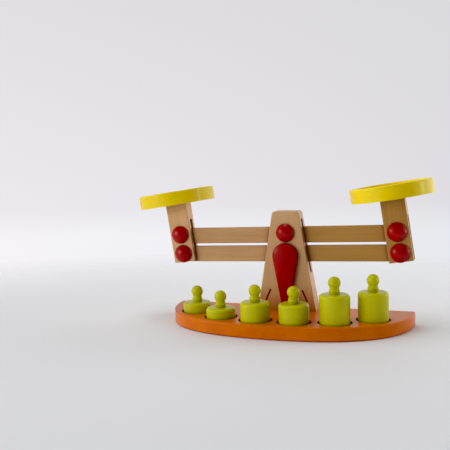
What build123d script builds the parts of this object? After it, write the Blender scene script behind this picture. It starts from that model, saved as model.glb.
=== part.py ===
"""Toy balance scale in painted and lacquered wood.

Millimetres, +Z up, -Y to the front. The origin is on the underside of the base, below the
middle of the column. Everything is drawn as it stands at rest: the beams a little up at the
right, the posts leaning left as far as the play in the upper beam lets them.
"""
from build123d import *
import math
import os

os.makedirs("parts", exist_ok=True)

# Base plate: a straight back edge and a full half oval in front
base_length = 310.0
base_depth = 114.0
base_thickness = 16.5
base_end_fullness_share = 0.725  # how long the oval keeps going forward at its ends
base_front_fullness_share = 0.6  # how long it keeps going sideways in front
base_edge_round = 1.6
base_corner_round = 3.0

# Column: one block, wider at the foot, with a slot from side to side for the beams
column_setback = 19.3  # from the back edge of the base to the column's middle
column_head_rise = 26.9  # top of the column above its upper peg
column_foot_width = 75.5
column_head_width = 33.5
column_thickness = 22.0
column_head_round = 4.5
column_edge_round = 1.0

# Pivots
pivot_height = 72.5  # lower pivot above the base plate
peg_lift = 0.7  # the column's pivots are this much further apart than the pins of a post
dowel_diameter = 6.0
running_gap = 0.08  # radial, for dowels that turn or are glued
open_pivot_gap = 0.3  # radial, at the upper right pivot, which closes the linkage
stop_gap = 0.2  # between a stop and what rests on it
face_gap = 0.3  # between flat faces that turn past each other

# How far the real scale moves, in degrees
tilt_limit = 20.0
sway_limit = 8.2
rest_tilt = 1.4

# Beams
arm_length = 139.6  # middle of the beam to each end pin
beam_height = 20.4
beam_thickness = 6.0
beam_end = 10.0  # wood beyond each end pin
beam_edge_round = 0.8
upper_pin_rise = 2.4  # end pins above the upper beam's middle line
lower_pin_rise = 1.0
play_hole_rise = 1.0  # middle of the play hole above the upper beam's end pins
beam_pass_gap = 0.6  # left between the beams where tilt and sway bring them closest

# Slots for the beams
slot_side_gap = 0.6
slot_end_gap = 1.5

# Posts
post_width = 29.0
post_thickness = 18.0
post_top = 40.3  # above the upper pin
post_foot = 11.1  # below the lower pin
post_edge_round = 1.0

# Pans
pan_diameter = 98.5
pan_floor_thickness = 6.5
pan_depth = 10.5
pan_rim = 5.0
pan_rim_round = 1.8
pan_floor_round = 5.0
pan_dowel_diameter = 8.0
pan_dowel_in_pan = 4.0
pan_dowel_in_post = 14.0

# Button heads on the pegs
button_gap = 2.0  # between the two buttons of a post
button_height = 8.0
button_edge = 1.6
button_edge_round = 0.7
button_bore_depth = 4.5

# Pointer: a drop with a domed face, hanging from the lower pivot
pointer_head_radius = 16.2
pointer_tip_radius = 5.8
pointer_top_gap = 0.7  # below the button of the upper peg
pointer_foot_gap = 5.7  # above the base plate
pointer_edge_thickness = 5.0  # at the sides of the head
pointer_dome_height = 3.6  # middle of the head above its sides
pointer_fall = 2.6  # the face's middle is this much lower at the tip than at the head
pointer_edge_round = 2.0
pointer_bore_depth = 4.0

# Marks for the pointer's swing, cut in the column and filled with paint
tick_angle = 24.0
tick_foot_gap = 12.2  # lower ends above the base plate
tick_length = 16.2
tick_width = 2.4
tick_depth = 0.6

# Weights: six turned pieces in three heights
weight_diameter = 36.0
light_weight_height = 17.6
middle_weight_height = 28.1
heavy_weight_height = 39.5
weight_top_round = 3.6
weight_foot_round = 1.6
recess_gap = 2.5  # radial, between a weight and its recess
recess_depth = 6.0
recess_wall = 6.0  # between a recess and the front edge
recess_web = 6.5  # between neighbouring recesses
recesses_each_side = 3
share_step = 0.001  # of the front edge, in the search for the recesses' places

# Knobs of the weights
knob_foot_radius = 6.1
knob_foot_height = 2.2
knob_bead_radius = 6.5
knob_bead_height = 4.0
knob_neck_radius = 5.6
knob_neck_height = 2.2
knob_ball_radius = 7.4
knob_tenon_diameter = 6.0
knob_tenon_length = 8.0
knob_tenon_gap = 0.1

# Wood screws that hold the column, driven from below
screw_diameter = 4.0
screw_head_diameter = 8.0
screw_head_height = 2.4
screw_length = 42.0
screw_spacing = 36.0
screw_sink = 0.8  # head below the underside
screw_gap = 0.1
screw_cross_width = 1.2
screw_cross_depth = 1.4
screw_tip_slope = 30.0  # degrees, between the tip's side and the screw's axis

# How far cutting shapes run past what they cut
overrun = 2.0

# A face counts as upright when less than this share of its direction runs along Y
upright_share = 0.001

# Heights, widths and radii that follow from the sizes above
beam_pair_height = beam_height + upper_pin_rise - lower_pin_rise
pin_spacing = (beam_pair_height + beam_pass_gap) / math.cos(math.radians(tilt_limit + sway_limit))
peg_spacing = pin_spacing + peg_lift
column_height = pivot_height + peg_spacing + column_head_rise
column_middle_height = base_thickness + pivot_height
dowel_radius = dowel_diameter / 2
dowel_hole = dowel_radius + running_gap
slot_width = beam_thickness + 2 * slot_side_gap
post_front = post_thickness / 2
column_front = column_thickness / 2
weight_heights = (light_weight_height, middle_weight_height, heavy_weight_height)
weight_seat = base_thickness - recess_depth
recess_radius = weight_diameter / 2 + recess_gap
recess_inset = recess_radius + recess_wall
recess_pitch = 2 * recess_radius + recess_web
pan_height = pan_floor_thickness + pan_depth
button_diameter = pin_spacing - button_gap
pointer_drop = pointer_head_radius + pointer_top_gap + button_diameter / 2 - peg_spacing
pointer_reach = pivot_height - pointer_drop - pointer_tip_radius - pointer_foot_gap
pointer_dome_radius = (pointer_head_radius**2 + pointer_dome_height**2) / (
    2 * pointer_dome_height
)
tick_end = (pivot_height - tick_foot_gap) / math.cos(math.radians(tick_angle))
upper_beam_top = beam_height / 2 - upper_pin_rise
lower_beam_bottom = beam_height / 2 + lower_pin_rise
screw_head_step = (screw_head_diameter - screw_diameter) / 2
screw_head_slope = math.degrees(math.atan2(screw_head_step, screw_head_height))
screw_tip_length = screw_diameter / 2


def leaning_plane(x, z, angle):
    """Upright plane facing the front, turned so that its own +X end rises by the angle."""
    turn = math.radians(angle)
    return Plane(origin=(x, 0, z), x_dir=(math.cos(turn), 0, math.sin(turn)), z_dir=(0, -1, 0))


def outward_plane(x, y, z):
    """Level plane at a point whose own +Y points out of the front face there."""
    return Plane(origin=(x, y, z), x_dir=(1, 0, 0), z_dir=(0, 0, -1))


# Ends of the tangents that shape the right half of the oval front edge
front_edge = column_setback - base_depth
edge_points = (
    (base_length / 2, column_setback),
    (base_length / 2, column_setback - base_depth * base_end_fullness_share),
    (base_length / 2 * base_front_fullness_share, front_edge),
    (0, front_edge),
)


def recess_centre(share):
    """Point set in from the right half of the front edge, square to it."""
    rest = 1 - share
    point_weights = (rest**3, 3 * rest**2 * share, 3 * rest * share**2, share**3)
    slope_weights = (-(rest**2), rest**2 - 2 * rest * share, 2 * rest * share - share**2, share**2)
    x, y = (sum(w * p[i] for w, p in zip(point_weights, edge_points)) for i in (0, 1))
    run_x, run_y = (sum(w * p[i] for w, p in zip(slope_weights, edge_points)) for i in (0, 1))
    run = math.hypot(run_x, run_y)
    return x + recess_inset * run_y / run, y - recess_inset * run_x / run


def recess_centres():
    """Centres of the right half's recesses, from the middle outwards, each a pitch from the last."""
    centres = []
    share = 1
    while len(centres) < recesses_each_side:
        share -= share_step
        x, y = recess_centre(share)
        last = centres[-1] if centres else (-x, y)
        if math.dist(last, (x, y)) >= recess_pitch:
            centres.append((x, y))
    return centres


def column_half_width(height):
    """Half the column's width at a height above the base plate."""
    taper = (column_foot_width - column_head_width) / (2 * column_height)
    return column_foot_width / 2 - taper * height


def slot_reach(beam_edge, start, direction):
    """Height where a slot has to end for a beam that tilts to its limit.

    The beam's edge lies beam_edge from the pins at start, and its corner meets the column's side.
    """
    rise = math.tan(math.radians(tilt_limit))
    taper = (column_foot_width - column_head_width) / (2 * column_height)
    level = beam_edge / math.cos(math.radians(tilt_limit)) + slot_end_gap
    swing = column_half_width(start) * rise
    return start + direction * (level + swing) / (1 + direction * taper * rise)


def play_offset(tilt, sway):
    """Where the column's upper peg lies in the upper beam, from the middle of the play hole."""
    sway = math.radians(sway)
    tilt = math.radians(tilt)
    x = pin_spacing * math.sin(sway)
    z = peg_spacing - pin_spacing * math.cos(sway)
    along = x * math.cos(tilt) + z * math.sin(tilt)
    across = z * math.cos(tilt) - x * math.sin(tilt)
    return along, across - play_hole_rise


# Places of the pins at rest
tilt_turn = math.radians(rest_tilt)
sway_turn = math.radians(sway_limit)
arm_x = arm_length * math.cos(tilt_turn)
arm_z = arm_length * math.sin(tilt_turn)
pin_shift = -pin_spacing * math.sin(sway_turn)
pin_lift = pin_spacing * math.cos(sway_turn)
lower_pin = {
    "left": (-arm_x, column_middle_height - arm_z),
    "right": (arm_x, column_middle_height + arm_z),
}
upper_pin = {side: (x + pin_shift, z + pin_lift) for side, (x, z) in lower_pin.items()}
peg_height = column_middle_height + peg_spacing

lower_beam_plane = leaning_plane(0, column_middle_height, rest_tilt)
upper_beam_plane = leaning_plane(pin_shift, column_middle_height + pin_lift, rest_tilt)

# Slots, as tall as the limits of tilt and sway need
post_swing = math.radians(tilt_limit + sway_limit)
post_slot_top = (
    upper_beam_top / math.cos(post_swing) + post_width / 2 * math.tan(post_swing) + slot_end_gap
)
shifted_edge = upper_beam_top + pin_spacing * math.sin(sway_turn) * math.sin(
    math.radians(tilt_limit)
)
column_slot_top = slot_reach(shifted_edge, pivot_height + pin_spacing, 1)
column_slot_bottom = slot_reach(lower_beam_bottom, pivot_height, -1)

play_corners = [
    play_offset(tilt, sway)
    for tilt in (-tilt_limit, tilt_limit)
    for sway in (-sway_limit, sway_limit)
]
play_half_length = max(abs(along) for along, across in play_corners) + dowel_radius + stop_gap
play_half_height = max(abs(across) for along, across in play_corners) + dowel_radius + stop_gap


# Base plate
with BuildPart() as base:
    with BuildSketch(Plane.XY) as base_outline:
        with BuildLine():
            Bezier(*edge_points)
            Bezier(*[(-x, y) for x, y in edge_points])
            Line((-base_length / 2, column_setback), (base_length / 2, column_setback))
        make_face()
        fillet(base_outline.vertices().group_by(Axis.Y)[-1], radius=base_corner_round)
    extrude(amount=base_thickness)
    fillet(base.faces().sort_by(Axis.Z)[-1].edges(), radius=base_edge_round)
    fillet(base.faces().sort_by(Axis.Z)[0].edges(), radius=base_edge_round)
    right_places = recess_centres()
    recess_places = [(-x, y) for x, y in right_places[::-1]] + right_places
    with BuildSketch(Plane.XY.offset(weight_seat)):
        with Locations(*recess_places):
            Circle(recess_radius)
    extrude(amount=recess_depth + overrun, mode=Mode.SUBTRACT)
    # countersunk holes for the column's screws, from below
    with BuildSketch(Plane.XY):
        with GridLocations(screw_spacing, 0, 2, 1):
            Circle(screw_diameter / 2 + screw_gap)
    extrude(amount=base_thickness + overrun, mode=Mode.SUBTRACT)
    with BuildSketch(Plane.XY):
        with GridLocations(screw_spacing, 0, 2, 1):
            Circle(screw_head_diameter / 2 + screw_gap)
    extrude(amount=screw_sink + screw_gap, mode=Mode.SUBTRACT)
    with BuildSketch(Plane.XY.offset(screw_sink)):
        with GridLocations(screw_spacing, 0, 2, 1):
            Circle(screw_head_diameter / 2 + screw_gap)
    extrude(amount=screw_head_height, taper=screw_head_slope, mode=Mode.SUBTRACT)
base.part.label = "base"
export_step(base.part, "parts/base.step")


# Column
with BuildPart() as column:
    with BuildSketch(Plane.XZ) as column_outline:
        with BuildLine():
            Polyline(
                (-column_foot_width / 2, base_thickness),
                (column_foot_width / 2, base_thickness),
                (column_head_width / 2, base_thickness + column_height),
                (-column_head_width / 2, base_thickness + column_height),
                close=True,
            )
        make_face()
        fillet(column_outline.vertices().group_by(Axis.Y)[-1], radius=column_head_round)
    extrude(amount=column_front, both=True)
    column_faces = column.faces().filter_by(Axis.Y)
    upper_edges = [
        edge
        for edge in column_faces.edges()
        if edge.center().Z > base_thickness + column_edge_round
    ]
    fillet(upper_edges, radius=column_edge_round)
    with BuildSketch(Plane.YZ):
        with Locations((0, base_thickness + (column_slot_top + column_slot_bottom) / 2)):
            Rectangle(slot_width, column_slot_top - column_slot_bottom)
    extrude(amount=column_foot_width, both=True, mode=Mode.SUBTRACT)
    with BuildSketch(Plane.XZ):
        with Locations((0, column_middle_height), (0, peg_height)):
            Circle(dowel_hole)
    extrude(amount=column_thickness, both=True, mode=Mode.SUBTRACT)
    # pilot holes for the screws
    with BuildSketch(Plane.XY.offset(base_thickness)):
        with GridLocations(screw_spacing, 0, 2, 1):
            Circle(screw_diameter / 2 + screw_gap)
    extrude(amount=screw_sink + screw_length - base_thickness + screw_gap, mode=Mode.SUBTRACT)
    # grooves of the marks
    for turn in (-tick_angle, tick_angle):
        groove_plane = leaning_plane(0, column_middle_height, turn).offset(column_front)
        with BuildSketch(groove_plane):
            with Locations((0, tick_length / 2 - tick_end)):
                Rectangle(tick_width, tick_length)
        extrude(amount=-tick_depth, mode=Mode.SUBTRACT)
column.part.label = "column"
export_step(column.part, "parts/column.step")


# Paint lines that fill the grooves
with BuildPart() as tick_marks:
    for turn in (-tick_angle, tick_angle):
        groove_plane = leaning_plane(0, column_middle_height, turn).offset(column_front)
        with BuildSketch(groove_plane):
            with Locations((0, tick_length / 2 - tick_end)):
                Rectangle(tick_width, tick_length)
        extrude(amount=-tick_depth)
tick_marks.part.label = "tick_marks"
export_step(tick_marks.part, "parts/tick_marks.step")


# Column screws
with BuildPart() as column_screws:
    with BuildSketch(Plane.XY.offset(screw_sink)):
        with GridLocations(screw_spacing, 0, 2, 1):
            Circle(screw_head_diameter / 2)
    extrude(amount=screw_head_height, taper=screw_head_slope)
    with BuildSketch(Plane.XY.offset(screw_sink + screw_head_height)):
        with GridLocations(screw_spacing, 0, 2, 1):
            Circle(screw_diameter / 2)
    extrude(amount=screw_length - screw_head_height - screw_tip_length)
    # pointed ends
    with BuildSketch(Plane.XY.offset(screw_sink + screw_length - screw_tip_length)):
        with GridLocations(screw_spacing, 0, 2, 1):
            Circle(screw_diameter / 2)
    extrude(amount=screw_tip_length, taper=screw_tip_slope)
    # cross recesses
    with BuildSketch(Plane.XY.offset(screw_sink)):
        with GridLocations(screw_spacing, 0, 2, 1):
            Rectangle(screw_head_diameter / 2, screw_cross_width)
            Rectangle(screw_cross_width, screw_head_diameter / 2)
    extrude(amount=screw_cross_depth, mode=Mode.SUBTRACT)
column_screws.part.label = "column_screws"
export_step(column_screws.part, "parts/column_screws.step")


def write_dowel(label, x, z, back, front):
    """A round wooden pin along Y, between two places measured from the middle to the front."""
    with BuildPart() as dowel:
        with BuildSketch(Plane.XZ.offset(back)):
            with Locations((x, z)):
                Circle(dowel_radius)
        extrude(amount=front - back)
    dowel.part.label = label
    export_step(dowel.part, f"parts/{label}.step")


def write_button(label, x, z, face):
    """A domed head with a blind bore at the back, glued on the end of a dowel."""
    seat = outward_plane(x, -face - face_gap, z)
    with BuildPart() as button:
        with BuildSketch(seat):
            with BuildLine():
                rim = (button_diameter / 2, button_edge)
                top = (0, button_height)
                rise = button_height - button_edge
                dome_radius = (rim[0] ** 2 + rise**2) / (2 * rise)
                mid_turn = math.asin(rim[0] / dome_radius) / 2
                middle = (
                    dome_radius * math.sin(mid_turn),
                    button_height - dome_radius * (1 - math.cos(mid_turn)),
                )
                Line((0, 0), (rim[0], 0))
                Line((rim[0], 0), rim)
                ThreePointArc(rim, middle, top)
                Line(top, (0, 0))
            make_face()
        revolve(axis=Axis((x, 0, z), (0, -1, 0)))
        fillet(button.edges().filter_by(GeomType.CIRCLE), radius=button_edge_round)
        with BuildSketch(Plane.XZ.offset(face + face_gap)):
            with Locations((x, z)):
                Circle(dowel_hole)
        extrude(amount=button_bore_depth, mode=Mode.SUBTRACT)
    button.part.label = label
    export_step(button.part, f"parts/{label}.step")


dowel_in_button = face_gap + button_bore_depth - running_gap

# Upper peg of the column, through the play hole of the upper beam
write_dowel("upper_pivot_dowel", 0, peg_height, -column_front, column_front + dowel_in_button)
write_button("upper_pivot_button", 0, peg_height, column_front)

# Pegs of the posts
for side in ("left", "right"):
    for level, pin in (("lower", lower_pin), ("upper", upper_pin)):
        pin_x, pin_z = pin[side]
        write_dowel(
            f"{side}_{level}_dowel", pin_x, pin_z, -post_front, post_front + dowel_in_button
        )
        write_button(f"{side}_{level}_button", pin_x, pin_z, post_front)


# Lower beam, which turns on the pointer's dowel
with BuildPart() as lower_beam:
    with BuildSketch(lower_beam_plane):
        with Locations((0, -lower_pin_rise)):
            Rectangle(2 * (arm_length + beam_end), beam_height)
        with Locations((-arm_length, 0), (0, 0), (arm_length, 0)):
            Circle(dowel_hole, mode=Mode.SUBTRACT)
    extrude(amount=beam_thickness / 2, both=True)
    beam_axis = Axis((0, 0, 0), lower_beam_plane.x_dir)
    fillet(lower_beam.edges().filter_by(beam_axis), radius=beam_edge_round)
lower_beam.part.label = "lower_beam"
export_step(lower_beam.part, "parts/lower_beam.step")


# Upper beam, with the long play hole in its middle
with BuildPart() as upper_beam:
    with BuildSketch(upper_beam_plane):
        with Locations((0, -upper_pin_rise)):
            Rectangle(2 * (arm_length + beam_end), beam_height)
        with Locations((-arm_length, 0)):
            Circle(dowel_hole, mode=Mode.SUBTRACT)
        with Locations((arm_length, 0)):
            Circle(dowel_radius + open_pivot_gap, mode=Mode.SUBTRACT)
        with Locations((0, play_hole_rise)):
            RectangleRounded(
                2 * play_half_length, 2 * play_half_height, dowel_radius, mode=Mode.SUBTRACT
            )
    extrude(amount=beam_thickness / 2, both=True)
    beam_axis = Axis((0, 0, 0), upper_beam_plane.x_dir)
    long_edges = [
        edge
        for edge in upper_beam.edges().filter_by(beam_axis)
        if edge.length > arm_length
    ]
    fillet(long_edges, radius=beam_edge_round)
upper_beam.part.label = "upper_beam"
export_step(upper_beam.part, "parts/upper_beam.step")


# Pointer, and the dowel that fixes it to the lower beam
pointer_back = column_front + face_gap
pointer_front = pointer_back + pointer_edge_thickness + pointer_dome_height
pointer_head_height = column_middle_height - pointer_drop
fall_turn = math.asin(pointer_fall / pointer_reach)
dome_plane = Plane(
    origin=(0, pointer_dome_radius - pointer_front, pointer_head_height),
    x_dir=(0, math.sin(fall_turn), -math.cos(fall_turn)),
    z_dir=(1, 0, 0),
)

# the face's form: a ball over the head that runs on as a cylinder over the tail
with BuildPart() as pointer_face:
    with BuildSketch(dome_plane):
        with BuildLine():
            tail_end = pointer_reach + pointer_head_radius
            dome_middle = pointer_dome_radius * math.sqrt(0.5)
            ThreePointArc(
                (-pointer_dome_radius, 0),
                (-dome_middle, dome_middle),
                (0, pointer_dome_radius),
            )
            Line((0, pointer_dome_radius), (tail_end, pointer_dome_radius))
            Line((tail_end, pointer_dome_radius), (tail_end, 0))
            Line((tail_end, 0), (-pointer_dome_radius, 0))
        make_face()
    revolve(axis=Axis(dome_plane.origin, dome_plane.x_dir))

with BuildPart() as pointer:
    with BuildSketch(Plane.XZ.offset(pointer_back)):
        with Locations((0, pointer_head_height)):
            Circle(pointer_head_radius)
        with Locations((0, pointer_head_height - pointer_reach)):
            Circle(pointer_tip_radius)
        make_hull()
    extrude(amount=pointer_front - pointer_back + overrun)
    add(pointer_face.part, mode=Mode.INTERSECT)
    along_walls = pointer.edges().filter_by(Axis.Y)
    rim_edges = [
        edge
        for wall in pointer.faces()
        if abs(wall.normal_at().Y) < upright_share
        for edge in wall.edges()
        if edge.center().Y < -pointer_back - pointer_edge_thickness / 2
        and edge not in along_walls
    ]
    fillet(rim_edges, radius=pointer_edge_round)
    with BuildSketch(Plane.XZ.offset(pointer_back)):
        with Locations((0, column_middle_height)):
            Circle(dowel_hole)
    extrude(amount=pointer_bore_depth, mode=Mode.SUBTRACT)
pointer.part.label = "pointer"
export_step(pointer.part, "parts/pointer.step")
write_dowel(
    "pointer_dowel",
    0,
    column_middle_height,
    -column_front,
    pointer_back + pointer_bore_depth - running_gap,
)


def write_post(side):
    """A post with a slot that is open at the foot, and a bore in its top for the pan's dowel."""
    pin_x, pin_z = upper_pin[side]
    face = leaning_plane(pin_x, pin_z, sway_limit)
    foot = -pin_spacing - post_foot
    with BuildPart() as post:
        with BuildSketch(face):
            with Locations((0, (post_top + foot) / 2)):
                Rectangle(post_width, post_top - foot)
        extrude(amount=post_front, both=True)
        post_axis = Axis((0, 0, 0), face.y_dir)
        fillet(post.edges().filter_by(post_axis), radius=post_edge_round)
        with BuildSketch(face):
            with Locations((0, (post_slot_top + foot - overrun) / 2)):
                Rectangle(post_width + overrun, post_slot_top - foot + overrun)
        extrude(amount=slot_width / 2, both=True, mode=Mode.SUBTRACT)
        with BuildSketch(face):
            with Locations((0, 0), (0, -pin_spacing)):
                Circle(dowel_hole)
        extrude(amount=post_thickness, both=True, mode=Mode.SUBTRACT)
        top_plane = Plane(
            origin=face.from_local_coords((0, post_top, 0)), x_dir=face.x_dir, z_dir=face.y_dir
        )
        with BuildSketch(top_plane):
            Circle(pan_dowel_diameter / 2 + running_gap)
        extrude(amount=-pan_dowel_in_post - running_gap, mode=Mode.SUBTRACT)
    post.part.label = f"{side}_post"
    export_step(post.part, f"parts/{side}_post.step")


def write_pan(side):
    """A round dish on the top of a post, and the hidden dowel that holds it."""
    pin_x, pin_z = upper_pin[side]
    face = leaning_plane(pin_x, pin_z, sway_limit)
    pan_axis = Axis(face.origin, face.y_dir)
    inner = pan_diameter / 2 - pan_rim
    floor = post_top + pan_floor_thickness
    rim_top = post_top + pan_height
    with BuildPart() as pan:
        with BuildSketch(face) as profile:
            with BuildLine():
                Polyline(
                    (0, post_top),
                    (pan_diameter / 2, post_top),
                    (pan_diameter / 2, rim_top),
                    (inner, rim_top),
                    (inner, floor),
                    (0, floor),
                    close=True,
                )
            make_face()
            fillet(profile.vertices().group_by(Axis.Y)[-1], radius=pan_rim_round)
            dish_corner = profile.vertices().sort_by_distance((inner, floor))[0]
            fillet(dish_corner, radius=pan_floor_round)
        revolve(axis=pan_axis)
        under = Plane(
            origin=face.from_local_coords((0, post_top, 0)), x_dir=face.x_dir, z_dir=face.y_dir
        )
        with BuildSketch(under):
            Circle(pan_dowel_diameter / 2 + running_gap)
        extrude(amount=pan_dowel_in_pan + running_gap, mode=Mode.SUBTRACT)
    pan.part.label = f"{side}_pan"
    export_step(pan.part, f"parts/{side}_pan.step")

    with BuildPart() as pan_dowel:
        with BuildSketch(under.offset(-pan_dowel_in_post)):
            Circle(pan_dowel_diameter / 2)
        extrude(amount=pan_dowel_in_post + pan_dowel_in_pan)
    pan_dowel.part.label = f"{side}_pan_dowel"
    export_step(pan_dowel.part, f"parts/{side}_pan_dowel.step")


for side in ("left", "right"):
    write_post(side)
    write_pan(side)


def write_weight(number, x, y, height):
    """A turned cylinder with a rounded rim and a bore for its knob's tenon."""
    stand = Plane(origin=(x, y, weight_seat), x_dir=(1, 0, 0), z_dir=(0, -1, 0))
    radius = weight_diameter / 2
    with BuildPart() as body:
        with BuildSketch(stand) as profile:
            with BuildLine():
                Polyline((0, 0), (radius, 0), (radius, height), (0, height), close=True)
            make_face()
            fillet(profile.vertices().sort_by_distance((radius, 0))[0], radius=weight_foot_round)
            fillet(profile.vertices().sort_by_distance((radius, height))[0], radius=weight_top_round)
        revolve(axis=Axis((x, y, 0), (0, 0, 1)))
        with BuildSketch(Plane(origin=(x, y, weight_seat + height))):
            Circle(knob_tenon_diameter / 2 + knob_tenon_gap)
        extrude(amount=-knob_tenon_length - knob_tenon_gap, mode=Mode.SUBTRACT)
    body.part.label = f"weight_{number}_body"
    export_step(body.part, f"parts/weight_{number}_body.step")


def write_knob(number, x, y, height):
    """A turned knob: tenon, foot, bead, neck and ball."""
    stand = Plane(origin=(x, y, weight_seat + height), x_dir=(1, 0, 0), z_dir=(0, -1, 0))
    tenon = knob_tenon_diameter / 2
    bead_top = knob_foot_height + knob_bead_height
    neck_top = bead_top + knob_neck_height
    ball_middle = neck_top + math.sqrt(knob_ball_radius**2 - knob_neck_radius**2)
    ball_top = ball_middle + knob_ball_radius
    with BuildPart() as knob:
        with BuildSketch(stand):
            with BuildLine():
                Line((0, -knob_tenon_length), (tenon, -knob_tenon_length))
                Line((tenon, -knob_tenon_length), (tenon, 0))
                Line((tenon, 0), (knob_foot_radius, 0))
                Line((knob_foot_radius, 0), (knob_foot_radius, knob_foot_height))
                ThreePointArc(
                    (knob_foot_radius, knob_foot_height),
                    (knob_bead_radius, knob_foot_height + knob_bead_height / 2),
                    (knob_neck_radius, bead_top),
                )
                Line((knob_neck_radius, bead_top), (knob_neck_radius, neck_top))
                ThreePointArc(
                    (knob_neck_radius, neck_top), (knob_ball_radius, ball_middle), (0, ball_top)
                )
                Line((0, ball_top), (0, -knob_tenon_length))
            make_face()
        revolve(axis=Axis((x, y, 0), (0, 0, 1)))
    knob.part.label = f"weight_{number}_knob"
    export_step(knob.part, f"parts/weight_{number}_knob.step")


for number, (x, y) in enumerate(recess_places, start=1):
    height = weight_heights[(number - 1) // 2]
    write_weight(number, x, y, height)
    write_knob(number, x, y, height)
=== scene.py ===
"""Looks of the toy balance scale: camera, soft studio light, floor, and the finish of every part.

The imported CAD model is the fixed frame. Everything here is in its metres, +Z up, -Y to the front,
and the scales of the textures are per metre.
"""
import math

import bmesh
import bpy
from mathutils import Matrix, Vector

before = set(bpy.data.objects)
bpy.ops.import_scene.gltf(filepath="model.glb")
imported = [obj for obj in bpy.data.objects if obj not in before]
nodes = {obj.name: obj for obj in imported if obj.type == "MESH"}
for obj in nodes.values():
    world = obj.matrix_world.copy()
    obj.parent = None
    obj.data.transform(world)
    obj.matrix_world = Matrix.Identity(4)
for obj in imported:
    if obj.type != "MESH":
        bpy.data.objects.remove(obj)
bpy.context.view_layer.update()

# ---------------------------------------------------------------- camera
IMAGE_SIDE = 450.0  # of the photograph, in pixels
FOCAL_PIXELS = 704.4278
SENSOR_WIDTH = 36.0
CAMERA_AZIMUTH = 20.0794  # degrees to the right of the front
CAMERA_PITCH = 5.6835  # degrees down from level
CAMERA_ROLL = -1.5898  # degrees
CAMERA_DISTANCE = 0.9165596
CAMERA_TARGET = Vector((-0.0836333, 0.0, 0.1231443))
CLIP_START = 0.01
CLIP_END = 50.0


def make_camera():
    """The photograph's view, from the front and a little to the right and above."""
    azimuth, pitch, roll = (math.radians(a) for a in (CAMERA_AZIMUTH, CAMERA_PITCH, CAMERA_ROLL))
    right = Vector((math.cos(azimuth), math.sin(azimuth), 0))
    ahead = Vector(
        (
            -math.sin(azimuth) * math.cos(pitch),
            math.cos(azimuth) * math.cos(pitch),
            -math.sin(pitch),
        )
    )
    down = -right.cross(ahead)
    image_x = math.cos(roll) * right - math.sin(roll) * down
    image_y = math.sin(roll) * right + math.cos(roll) * down
    axes = Matrix((image_x, -image_y, -ahead)).transposed()
    data = bpy.data.cameras.new("camera")
    data.sensor_width = SENSOR_WIDTH
    data.lens = FOCAL_PIXELS / IMAGE_SIDE * SENSOR_WIDTH
    data.clip_start = CLIP_START
    data.clip_end = CLIP_END
    camera = bpy.data.objects.new("camera", data)
    bpy.context.scene.collection.objects.link(camera)
    position = Matrix.Translation(CAMERA_TARGET - CAMERA_DISTANCE * ahead)
    camera.matrix_world = position @ axes.to_4x4()
    bpy.context.scene.camera = camera


make_camera()

# ---------------------------------------------------------------- node helpers
EDGE_SAMPLES = 6
EDGE_NORMALS = (0.97, 0.80)  # how far the rounded normal follows the face's, flat and at an edge
CREVICE_SAMPLES = 8
CREVICE_LIGHT = (0.70, 0.35)  # how open it is where a crevice begins and where it is deepest
FACING_BLEND = 0.5
FACING_RANGE = (0.45, 0.95)
NOISE_MIDDLE = 0.5


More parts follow.
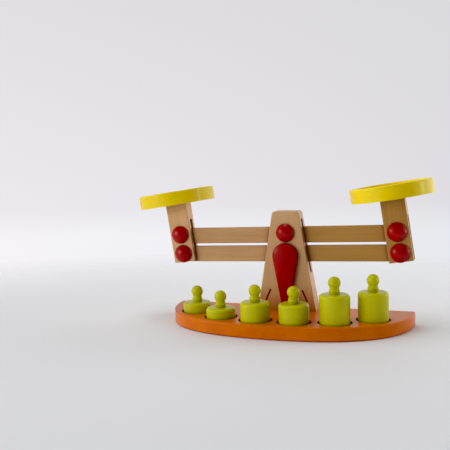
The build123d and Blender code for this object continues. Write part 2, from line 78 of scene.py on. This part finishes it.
class Tree:
    """A node tree, built by short calls."""

    def __init__(self, tree):
        self.tree = tree
        self.tree.nodes.clear()

    def add(self, kind, inputs=None, **settings):
        node = self.tree.nodes.new(kind)
        for key, value in settings.items():
            setattr(node, key, value)
        for key, value in (inputs or {}).items():
            self.put(node.inputs[key], value)
        return node

    def put(self, socket, value):
        """Link a socket to the input, or set it to a plain value."""
        if isinstance(value, bpy.types.NodeSocket):
            self.tree.links.new(value, socket)
        else:
            socket.default_value = value

    def math(self, operation, a, b=0.0, clamp=False):
        node = self.add("ShaderNodeMath", {0: a, 1: b}, operation=operation, use_clamp=clamp)
        return node.outputs[0]

    def remap(self, value, low, high, new_low=0.0, new_high=1.0):
        ends = {"From Min": low, "From Max": high, "To Min": new_low, "To Max": new_high}
        node = self.add("ShaderNodeMapRange", {"Value": value, **ends}, clamp=True)
        return node.outputs["Result"]

    def weigh(self, value, weight):
        return self.math("MULTIPLY", value, weight)

    def mix(self, share, a, b):
        """From colour a to colour b, whose sockets go by number because names repeat there."""
        return self.add("ShaderNodeMix", {0: share, 6: a, 7: b}, data_type="RGBA").outputs[2]

    def noise(self, vector, scale, detail=3.0, rough=0.5):
        texture = {"Vector": vector, "Scale": scale, "Detail": detail, "Roughness": rough}
        return self.add("ShaderNodeTexNoise", texture, noise_dimensions="3D").outputs["Fac"]

    def streaks(self, vector, scale, detail=3.0, rough=0.5):
        """Noise with a scale of its own along each axis."""
        return self.noise(self.vector_math("MULTIPLY", vector, scale), 1.0, detail, rough)

    def place(self, shift=(0, 0, 0), turn=(0, 0, 0)):
        """A point of the object, turned and then shifted."""
        moved = {
            "Vector": self.add("ShaderNodeTexCoord").outputs["Object"],
            "Location": shift,
            "Rotation": turn,
        }
        return self.add("ShaderNodeMapping", moved, vector_type="POINT").outputs["Vector"]

    def vector_math(self, operation, a, b, output="Vector"):
        return self.add("ShaderNodeVectorMath", {0: a, 1: b}, operation=operation).outputs[output]

    def axes(self, vector):
        """The X, Y and Z of a vector, by name."""
        return self.add("ShaderNodeSeparateXYZ", {0: vector}).outputs

    def edges(self, radius):
        """One at sharp edges, zero on flat faces."""
        bevel = self.add("ShaderNodeBevel", {"Radius": radius}, samples=EDGE_SAMPLES)
        face = self.add("ShaderNodeNewGeometry").outputs["Normal"]
        along = self.vector_math("DOT_PRODUCT", bevel.outputs["Normal"], face, output="Value")
        return self.remap(along, *EDGE_NORMALS)

    def crevice(self, distance, light=CREVICE_LIGHT, own=False):
        """One deep in grooves and where pieces meet, or only in the piece's own grooves."""
        # The mask for painted shade: where it is one, shade is painted into the colour.
        near = self.add(
            "ShaderNodeAmbientOcclusion",
            {"Distance": distance},
            samples=CREVICE_SAMPLES,
            only_local=own,
        )
        return self.remap(near.outputs["AO"], *light)

    def gloss(self, facing, grazing):
        """A coat weight that grows from a face seen square on to one seen at a low angle."""
        weight = self.add("ShaderNodeLayerWeight", {"Blend": FACING_BLEND})
        return self.remap(weight.outputs["Facing"], *FACING_RANGE, facing, grazing)

    def bump(self, height, strength, distance):
        relief = {"Height": height, "Strength": strength, "Distance": distance}
        return self.add("ShaderNodeBump", relief).outputs["Normal"]

    def shader(self, **inputs):
        names = {
            "colour": "Base Color",
            "rough": "Roughness",
            "normal": "Normal",
            "metal": "Metallic",
            "coat": "Coat Weight",
            "coat_rough": "Coat Roughness",
            "specular": "Specular IOR Level",
        }
        finish = {names[key]: value for key, value in inputs.items()}
        return self.add("ShaderNodeBsdfPrincipled", finish).outputs["BSDF"]

    def show(self, shader, output="ShaderNodeOutputMaterial"):
        """End the tree with what it shows."""
        self.add(output, {"Surface": shader})


def linear(red, green, blue):
    """An sRGB colour, given in 0-255, as Blender's linear one."""
    def channel(value):
        value /= 255
        return value / 12.92 if value <= 0.04045 else ((value + 0.055) / 1.055) ** 2.4
    return (channel(red), channel(green), channel(blue), 1.0)


def toned(colour, gain, lift=0.0):
    """The colour, brighter or darker, and never beyond white."""
    return tuple(min(1.0, c * gain + lift) for c in colour[:3]) + (1.0,)


def new_material(name):
    material = bpy.data.materials.new(name)
    material.use_nodes = True
    return material, Tree(material.node_tree)


# ---------------------------------------------------------------- wood
# Scales of the wood's noise, along the grain and across it
FIBRE_SCALE = (26.0, 900.0, 900.0)
STREAK_SCALE = (7.0, 210.0, 210.0)
CLOUD_SCALE = (5.0, 28.0, 28.0)
SWAY_SCALE = (9.0, 30.0, 30.0)
FLECK_SCALE = (330.0, 2100.0, 2100.0)

# Growth rings, round a pith beside the piece
PITH_Y = 0.09
PITH_Z = 0.05
RING_WIDTH = 0.0034
RING_SWAY = 0.010
LATE_WOOD_START = 0.35  # share of a ring's width
LATE_WOOD_CURVE = 2.2

# How far each feature takes the wood from its light tone to its dark one, and from which noise on
RING_DEPTH = 0.12
STREAK_DEPTH = 0.28
STREAK_RANGE = (0.35, 0.70)
FIBRE_DEPTH = 0.22
FIBRE_RANGE = (0.35, 0.75)
CLOUD_DEPTH = 0.30
CLOUD_RANGE = (0.35, 0.70)

# Flecks of the rays, worn edges, and the painted shade, a dark reddish brown, in grooves and joints
FLECK_RANGE = (0.66, 0.74)
FLECK_TONE = 0.55
FLECK_COVER = 0.45
WOOD_EDGE = 0.0009
WORN_TONE = 1.10
WORN_COVER = 0.35
SLOT_SHADE = 0.009
JOINT_SHADE = 0.026
JOINT_LIGHT = (0.90, 0.50)
WOOD_PAINTED_SHADE = linear(112, 30, 6)
PAINTED_SHADE_COVER = 0.95

# Heights between which the column's foot takes on painted reflected light, the orange of the base
# below, and X between which a beam takes on its painted shade towards the right
FOOT_BOUNCE_HEIGHTS = (0.050, 0.016)
FOOT_BOUNCE_TONES = (linear(186, 114, 40), linear(142, 70, 14))
RIGHT_SHADE_X = (-0.03, 0.03)

# Relief and lacquer
FIBRE_RELIEF = 0.6
STREAK_RELIEF = 0.4
FLECK_RELIEF = 0.5
WOOD_BUMP = (0.35, 0.00012)
WOOD_ROUGH_RANGE = (0.3, 0.7)
WOOD_ROUGH = (0.36, 0.50)
WOOD_COAT = (0.12, 0.5)


def ring_shade(t, place):
    """The dark late wood of the growth rings."""
    wander = t.streaks(place, SWAY_SCALE, detail=2.0)
    split = t.axes(place)
    dy = t.math("ADD", split["Y"], PITH_Y)
    dz = t.math("ADD", split["Z"], PITH_Z)
    radius = t.math("SQRT", t.math("ADD", t.math("MULTIPLY", dy, dy), t.math("MULTIPLY", dz, dz)))
    radius = t.math("ADD", radius, t.weigh(t.math("SUBTRACT", wander, NOISE_MIDDLE), RING_SWAY))
    phase = t.math("FRACT", t.weigh(radius, 1 / RING_WIDTH))
    return t.math("POWER", t.remap(phase, LATE_WOOD_START, 1.0), LATE_WOOD_CURVE)


def wood(name, tones, turn, shift, right_shade=None, foot=False, figure=1.0, slotted=True):
    """Lacquered beech whose grain runs along the piece's own length.

    tones are a light and a dark one. turn brings the grain onto the texture's X axis, and shift
    moves the piece to its own place in the log, so no two pieces show the same figure. right_shade
    is a second pair of darker tones, painted shade which the wood takes on towards the piece's
    right end, where the light is dimmer. A foot takes on painted reflected light, the orange of
    the painted base that it stands on. figure is the strength of the fibres and streaks. A slotted
    piece gets painted shade, a dark reddish brown, in its own slot only, and any other one also
    where it enters another piece.
    """
    material, t = new_material(name)
    light, dark = tones
    place = t.place(shift, turn)
    fibre = t.streaks(place, FIBRE_SCALE, detail=4.0, rough=0.6)
    streak = t.streaks(place, STREAK_SCALE, detail=3.0, rough=0.55)
    cloud = t.streaks(place, CLOUD_SCALE, detail=2.0)
    fleck = t.remap(t.streaks(place, FLECK_SCALE, detail=1.0), *FLECK_RANGE)

    share = t.weigh(ring_shade(t, place), RING_DEPTH)
    share = t.math("ADD", share, t.weigh(t.remap(streak, *STREAK_RANGE), STREAK_DEPTH * figure))
    share = t.math("ADD", share, t.weigh(t.remap(fibre, *FIBRE_RANGE), FIBRE_DEPTH * figure))
    share = t.math("ADD", share, t.weigh(t.remap(cloud, *CLOUD_RANGE), CLOUD_DEPTH), clamp=True)
    colour = t.mix(share, light, dark)
    where = t.axes(t.place())
    if foot:
        # Painted reflected light: orange tones from the base rise up the column's foot.
        colour = t.mix(t.remap(where["Z"], *FOOT_BOUNCE_HEIGHTS), colour, t.mix(share, *FOOT_BOUNCE_TONES))
    # Painted shade: a beam darkens and yellows towards its right end, where the light is dimmer.
    if right_shade:
        colour = t.mix(t.remap(where["X"], *RIGHT_SHADE_X), colour, t.mix(share, *right_shade))
    colour = t.mix(t.weigh(fleck, FLECK_COVER), colour, toned(dark, FLECK_TONE))
    colour = t.mix(t.weigh(t.edges(WOOD_EDGE), WORN_COVER), colour, toned(light, WORN_TONE))
    if slotted:
        groove = t.crevice(SLOT_SHADE, own=True)
    else:
        groove = t.crevice(JOINT_SHADE, JOINT_LIGHT)
    # Painted shade: the wood turns dark reddish brown deep in slots and where it enters another
    # piece.
    colour = t.mix(t.weigh(groove, PAINTED_SHADE_COVER), colour, WOOD_PAINTED_SHADE)

    height = t.math("ADD", t.weigh(fibre, FIBRE_RELIEF), t.weigh(streak, STREAK_RELIEF))
    height = t.math("SUBTRACT", height, t.weigh(fleck, FLECK_RELIEF))
    t.show(
        t.shader(
            colour=colour,
            rough=t.remap(streak, *WOOD_ROUGH_RANGE, *WOOD_ROUGH),
            normal=t.bump(height, *WOOD_BUMP),
            specular=0.15,
            coat=t.gloss(*WOOD_COAT),
            coat_rough=0.22,
        )
    )
    return material


# ---------------------------------------------------------------- paint
# Scales of the paint's noise
PATCH_SCALE = 38.0
MOTTLE_SCALE = 240.0
PEEL_SCALE = 520.0
CHIP_SCALE = 900.0
GRAIN_SCALE = (18.0, 380.0, 380.0)

# The noise over which each feature appears, and how much it then covers
PATCH_RANGE = (0.32, 0.70)
MOTTLE_RANGE = (0.45, 0.80)
MOTTLE_COVER = 0.30
GRAIN_RANGE = (0.50, 0.80)
GRAIN_COVER = 0.20
CHIP_RANGE = (0.66, 0.70)
CHIP_EDGE = (0.45, 0.80)
CHIP_COVER = 0.55
CHIP_WOOD = linear(214, 176, 128)
PAINT_EDGE = 0.0011
THIN_TONE = (1.18, 0.02)
THIN_COVER = 0.50
# Reach and cover of the painted shade that darkens grooves, recesses and joints
PAINT_SHADE = 0.006
SHADE_COVER = 0.80

# Relief and gloss
PEEL_RELIEF = 0.5
GRAIN_RELIEF = 0.5
PAINT_BUMP = (0.16, 0.00008)
PATCH_GLOSS = 0.5
MOTTLE_GLOSS = 0.5
GLOSS_RANGE = (0.35, 0.65)
ROUGH_SPREAD = 0.10


def paint(
    name, colour, shade, warm, rough=0.34, coat=0.60, square_on=0.4, shade_tint=(0.15, 0.15, 0.15)
):
    """Glossy enamel over sanded wood.

    The colour wanders between three close tones, the coat is slightly uneven, the grain of the
    wood still shows through as faint ridges, and edges are a little thinner and paler. square_on
    is the share of the coat's weight where it is seen square on, and shade_tint scales the shade
    tone into the painted shade that darkens deep grooves, recesses and joints.
    """
    material, t = new_material(name)
    place = t.place()
    patch = t.noise(place, PATCH_SCALE, detail=3.0, rough=0.55)
    mottle = t.noise(place, MOTTLE_SCALE, detail=4.0, rough=0.6)
    grain = t.streaks(place, GRAIN_SCALE, detail=3.0, rough=0.6)
    peel = t.noise(place, PEEL_SCALE, detail=2.0, rough=0.5)
    edge = t.edges(PAINT_EDGE)
    chips = t.remap(t.noise(place, CHIP_SCALE, detail=3.0, rough=0.7), *CHIP_RANGE)
    chips = t.math("MULTIPLY", chips, t.remap(edge, *CHIP_EDGE))

    tone = t.mix(t.remap(patch, *PATCH_RANGE), colour, shade)
    tone = t.mix(t.weigh(t.remap(mottle, *MOTTLE_RANGE), MOTTLE_COVER), tone, warm)
    tone = t.mix(t.weigh(t.remap(grain, *GRAIN_RANGE), GRAIN_COVER), tone, shade)
    tone = t.mix(t.weigh(edge, THIN_COVER), tone, toned(colour, *THIN_TONE))
    tone = t.mix(t.weigh(chips, CHIP_COVER), tone, CHIP_WOOD)
    # Painted shade: deep grooves, the weights' recesses and joints with other pieces darken to a
    # share of the shade tone.
    deep = tuple(k * c for k, c in zip(shade_tint, shade)) + (1.0,)
    tone = t.mix(t.weigh(t.crevice(PAINT_SHADE), SHADE_COVER), tone, deep)

    height = t.math("ADD", t.weigh(peel, PEEL_RELIEF), t.weigh(grain, GRAIN_RELIEF))
    uneven = t.math("ADD", t.weigh(patch, PATCH_GLOSS), t.weigh(mottle, MOTTLE_GLOSS))
    t.show(
        t.shader(
            colour=tone,
            rough=t.remap(uneven, *GLOSS_RANGE, rough, rough + ROUGH_SPREAD),
            normal=t.bump(height, *PAINT_BUMP),
            specular=0.10,
            coat=t.gloss(square_on * coat, coat),
            coat_rough=0.12,
        )
    )
    return material


# ---------------------------------------------------------------- steel
TARNISH_SCALE = 700.0
TARNISH_RANGE = (0.4, 0.7)
TURNING_SCALE = (900.0, 900.0, 6000.0)
STEEL_TONES = (linear(196, 190, 176), linear(142, 132, 112))
STEEL_EDGE = 0.0004
STEEL_BRIGHT = linear(225, 222, 214)
BRIGHT_COVER = 0.5
STEEL_ROUGH_RANGE = (0.3, 0.7)
STEEL_ROUGH = (0.26, 0.46)
STEEL_BUMP = (0.3, 0.00005)


def steel(name):
    """Plated screw steel with fine turning marks and a little tarnish."""
    material, t = new_material(name)
    place = t.place()
    tarnish = t.noise(place, TARNISH_SCALE, detail=4.0, rough=0.6)
    marks = t.streaks(place, TURNING_SCALE, detail=2.0)
    tone = t.mix(t.remap(tarnish, *TARNISH_RANGE), *STEEL_TONES)
    tone = t.mix(t.weigh(t.edges(STEEL_EDGE), BRIGHT_COVER), tone, STEEL_BRIGHT)
    t.show(
        t.shader(
            colour=tone,
            metal=1.0,
            rough=t.remap(tarnish, *STEEL_ROUGH_RANGE, *STEEL_ROUGH),
            normal=t.bump(marks, *STEEL_BUMP),
        )
    )
    return material


# ---------------------------------------------------------------- finish of every part
# Light and dark tones of the woods. The pale tones of the left post are beech lightened as painted
# light from the brighter left, and the honey tones of the right post and the beams' right ends are
# beech darkened and yellowed as painted shade of the dimmer, warmer light on the right.
BEECH = (linear(211, 172, 126), linear(184, 136, 86))
AMBER = (linear(207, 165, 117), linear(177, 129, 77))
HONEY_SHADED = (linear(183, 139, 71), linear(155, 107, 45))
PALE_LIT = (linear(219, 179, 133), linear(192, 142, 92))

# Rest angles that the grain follows, in degrees: the beams rise to the right, the posts lean left
BEAM_TILT = 1.4
POST_LEAN = 8.2
UPRIGHT = 90.0


def grain_turn(angle):
    """Turns a piece whose length rises by the angle from +X, seen from the front, onto X."""
    return (0.0, math.radians(angle), 0.0)


BEAM_TURN = grain_turn(BEAM_TILT)
POST_TURN = grain_turn(UPRIGHT + POST_LEAN)
DOWEL_TURN = (0.0, 0.0, math.radians(-90.0))  # dowels run from front to back

finishes = {
    "column": wood(
        "column_wood", BEECH, grain_turn(UPRIGHT), shift=(0.31, 0.07, 0.02), foot=True
    ),
    "lower_beam": wood(
        "lower_beam_wood", AMBER, BEAM_TURN, shift=(1.1, 0.2, 0.3), right_shade=HONEY_SHADED, slotted=False
    ),
    "upper_beam": wood(
        "upper_beam_wood", AMBER, BEAM_TURN, shift=(2.3, 0.5, 0.1), right_shade=HONEY_SHADED, slotted=False
    ),
    # Painted light and shade: the left post gets lighter tones for the brighter light on the left,
    # the right post darker, yellower ones for the dimmer light on the right.
    "left_post": wood("left_post_wood", PALE_LIT, POST_TURN, shift=(3.7, 0.4, 0.6)),
    "right_post": wood("right_post_wood", HONEY_SHADED, POST_TURN, shift=(4.9, 0.8, 0.2), figure=1.5),
}
dowel_wood = wood("dowel_wood", BEECH, DOWEL_TURN, shift=(0.5, 0.9, 0.7))
finishes["base"] = paint(
    "orange_enamel",
    linear(207, 108, 11),
    linear(193, 94, 7),
    linear(215, 122, 21),
    coat=0.55,
    square_on=0.05,
    # Painted shade in the recesses turns a warm dark red-brown
    shade_tint=(0.60, 0.15, 0.10),
)
yellow = paint("yellow_enamel", linear(236, 208, 8), linear(227, 195, 6), linear(240, 216, 24))
red = paint("red_enamel", linear(168, 2, 1), linear(150, 1, 1), linear(177, 4, 3), rough=0.30)
finishes["pointer"] = paint(
    "pointer_enamel", linear(164, 2, 1), linear(147, 1, 1), linear(174, 4, 3), rough=0.36, coat=0.3
)
finishes["tick_marks"] = paint(
    "red_mark_paint", linear(112, 14, 6), linear(92, 10, 5), linear(128, 22, 10), rough=0.4
)
green = paint("green_enamel", linear(194, 191, 7), linear(178, 174, 5), linear(205, 201, 22))
finishes["column_screws"] = steel("screw_steel")
for name in nodes:
    if name.endswith("_dowel"):
        finishes[name] = dowel_wood
    elif name.endswith("_button"):
        finishes[name] = red
    elif name.endswith("_pan"):
        finishes[name] = yellow
    elif name.startswith("weight_"):
        finishes[name] = green

for name, node in nodes.items():
    material = finishes[name]
    for slot in node.material_slots:
        slot.material = material
    if not node.material_slots:
        node.data.materials.append(material)

# ---------------------------------------------------------------- floor
FLOOR_RADIUS = 3.0
FLOOR_SEGMENTS = 96
FLOOR_CLOUD_SCALE = 2.2
FLOOR_CLOUD_RANGE = (0.3, 0.7)
FLOOR_TONES = (linear(231, 231, 234), linear(226, 226, 229))
# The near tone is painted shade: the floor darkens towards the front, where less light falls.
FLOOR_SHADED_NEAR_TONE = linear(219, 220, 224)
FLOOR_NEAR = (-0.12, -0.55)  # Y between which the floor takes on its near tone
FLOOR_TOOTH_SCALE = 1400.0
FLOOR_BUMP = (0.08, 0.0002)
FLOOR_FADE_SHIFT = (0.0, 0.5, 0.0)  # brings the fade's middle, in front of the scale, to zero
FLOOR_FADE = (0.62, 1.15)  # distances from that middle between which the floor fades away


def make_floor():
    """A wide pale studio floor under the base, which fades into the room round it."""
    shape = bmesh.new()
    bmesh.ops.create_circle(shape, cap_ends=True, radius=FLOOR_RADIUS, segments=FLOOR_SEGMENTS)
    mesh = bpy.data.meshes.new("floor")
    shape.to_mesh(mesh)
    shape.free()
    floor = bpy.data.objects.new("floor", mesh)
    bpy.context.scene.collection.objects.link(floor)
    material, t = new_material("floor_paper")
    place = t.place()
    cloud = t.noise(place, FLOOR_CLOUD_SCALE, detail=3.0)
    tone = t.mix(t.remap(cloud, *FLOOR_CLOUD_RANGE), *FLOOR_TONES)
    # Painted shade: the floor darker towards its front.
    tone = t.mix(t.remap(t.axes(place)["Y"], *FLOOR_NEAR), tone, FLOOR_SHADED_NEAR_TONE)
    tooth = t.noise(place, FLOOR_TOOTH_SCALE, detail=2.0)
    paper = t.shader(colour=tone, rough=0.6, normal=t.bump(tooth, *FLOOR_BUMP), specular=0.3)
    fade_place = {0: t.place(FLOOR_FADE_SHIFT)}
    distance = t.add("ShaderNodeVectorMath", fade_place, operation="LENGTH").outputs["Value"]
    clear = t.add("ShaderNodeBsdfTransparent").outputs["BSDF"]
    fade = t.add("ShaderNodeMixShader", {0: t.remap(distance, *FLOOR_FADE), 1: paper, 2: clear})
    t.show(fade.outputs[0])
    mesh.materials.append(material)


make_floor()

# ---------------------------------------------------------------- room
# The wall's tones, low, high and below the horizon, as the camera sees them
WALL_RIGHT = (linear(224, 222, 227), linear(219, 218, 222), linear(231, 234, 238))
WALL_LEFT = (linear(236, 234, 239), linear(226, 223, 229), linear(246, 244, 249))

# Z of the direction over which the low tone turns into the high one, and into the lowest
WALL_RISE = (-0.07, 0.20)
WALL_BAND = (-0.07, -0.11)
WALL_SIDES = (-0.04, -0.61)  # X of it over which the right wall turns into the left one

# Directions and weights of the room's light on matt surfaces, and of its mirror image
ROOM_COLOUR = (1.0, 1.0, 1.0, 1.0)
ROOM_FOCUS = 3.0
ROOM_LIGHT = (
    ((0.0, 1.0, 0.25), 0.01),
    ((0.8, 0.6, 0.25), 0.46),
    ((-0.8, -0.6, 0.25), 1.37),
    ((-0.8, 0.6, 0.25), 1.71),
)
ROOM_GLOSS = (
    ((0.0, 1.0, 0.1), 0.6),
    ((0.9, 0.4, 0.1), 2.4),
    ((-0.9, 0.4, 0.1), 0.3),
    ((-0.7, -0.7, 0.1), 0.3),
)


def lobes(t, direction, rows):
    """The room's brightness: a soft lobe of light around each direction, with its own weight."""
    total = 0.0
    for middle, weight in rows:
        middle = Vector(middle).normalized()
        near = t.vector_math("DOT_PRODUCT", direction, middle, output="Value")
        lobe = t.math("POWER", t.math("MAXIMUM", near, 0.0), ROOM_FOCUS)
        total = t.math("ADD", total, t.weigh(lobe, weight))
    return total


def make_world():
    """A pale studio room: plain to the camera, and brighter on some sides as a source of light."""
    world = bpy.data.worlds.new("studio")
    bpy.context.scene.world = world
    world.use_nodes = True
    t = Tree(world.node_tree)
    direction = t.add("ShaderNodeTexCoord").outputs["Generated"]
    split = t.axes(direction)
    rise = t.remap(split["Z"], *WALL_RISE)
    band = t.remap(split["Z"], *WALL_BAND)
    right, left = (
        t.mix(band, t.mix(rise, low, high), below)
        for low, high, below in (WALL_RIGHT, WALL_LEFT)
    )
    wall = t.mix(t.remap(split["X"], *WALL_SIDES), right, left)
    light, mirrored, seen = (
        t.add("ShaderNodeBackground", {"Color": colour, "Strength": strength}).outputs[0]
        for colour, strength in (
            (ROOM_COLOUR, lobes(t, direction, ROOM_LIGHT)),
            (ROOM_COLOUR, lobes(t, direction, ROOM_GLOSS)),
            (wall, 1.0),
        )
    )
    rays = t.add("ShaderNodeLightPath").outputs
    room = light
    for ray, background in (("Is Glossy Ray", mirrored), ("Is Camera Ray", seen)):
        room = t.add("ShaderNodeMixShader", {0: rays[ray], 1: room, 2: background}).outputs[0]
    t.show(room, "ShaderNodeOutputWorld")


make_world()

# ---------------------------------------------------------------- lamps and exposure
# Name, position, width, height and power in watts
SOFTBOXES = (
    ("top_softbox", (-0.15, -0.05, 1.3), 0.7, 0.5, 3.9),
    ("right_softbox", (1.3, 0.6, 0.5), 0.5, 0.7, 7.5),
    ("back_softbox", (-0.1, 1.3, 1.2), 1.4, 0.8, 2.1),
    ("window_softbox", (-0.85, -1.35, 0.35), 0.7, 0.5, 7.3),
    ("near_softbox", (-0.65, -0.45, 0.25), 0.30, 0.30, 1.9),
    ("side_softbox", (1.2, 0.1, 0.25), 0.25, 0.4, 1.5),
)
MATT_SOFTBOXES = ("window_softbox", "right_softbox")  # leave no mirror image
GLOSS_SOFTBOXES = ("near_softbox",)  # leave nothing else
SOFTBOX_TARGET = Vector((0.0, 0.0, 0.1))
BLACK_LEVEL = 0.008


def softbox(name, position, width, height, power):
    """A rectangular lamp that faces the scale."""
    data = bpy.data.lights.new(name, "AREA")
    data.shape = "RECTANGLE"
    data.size = width
    data.size_y = height
    data.energy = power
    lamp = bpy.data.objects.new(name, data)
    lamp.visible_glossy = name not in MATT_SOFTBOXES
    lamp.visible_diffuse = name not in GLOSS_SOFTBOXES
    bpy.context.scene.collection.objects.link(lamp)
    lamp.location = position
    lamp.rotation_mode = "QUATERNION"
    lamp.rotation_quaternion = (SOFTBOX_TARGET - Vector(position)).to_track_quat("-Z", "Y")


for row in SOFTBOXES:
    softbox(*row)
view = bpy.context.scene.view_settings
view.view_transform = "Standard"
view.look = "None"
view.use_curve_mapping = True
view.curve_mapping.black_level = (BLACK_LEVEL,) * 3
view.curve_mapping.update()
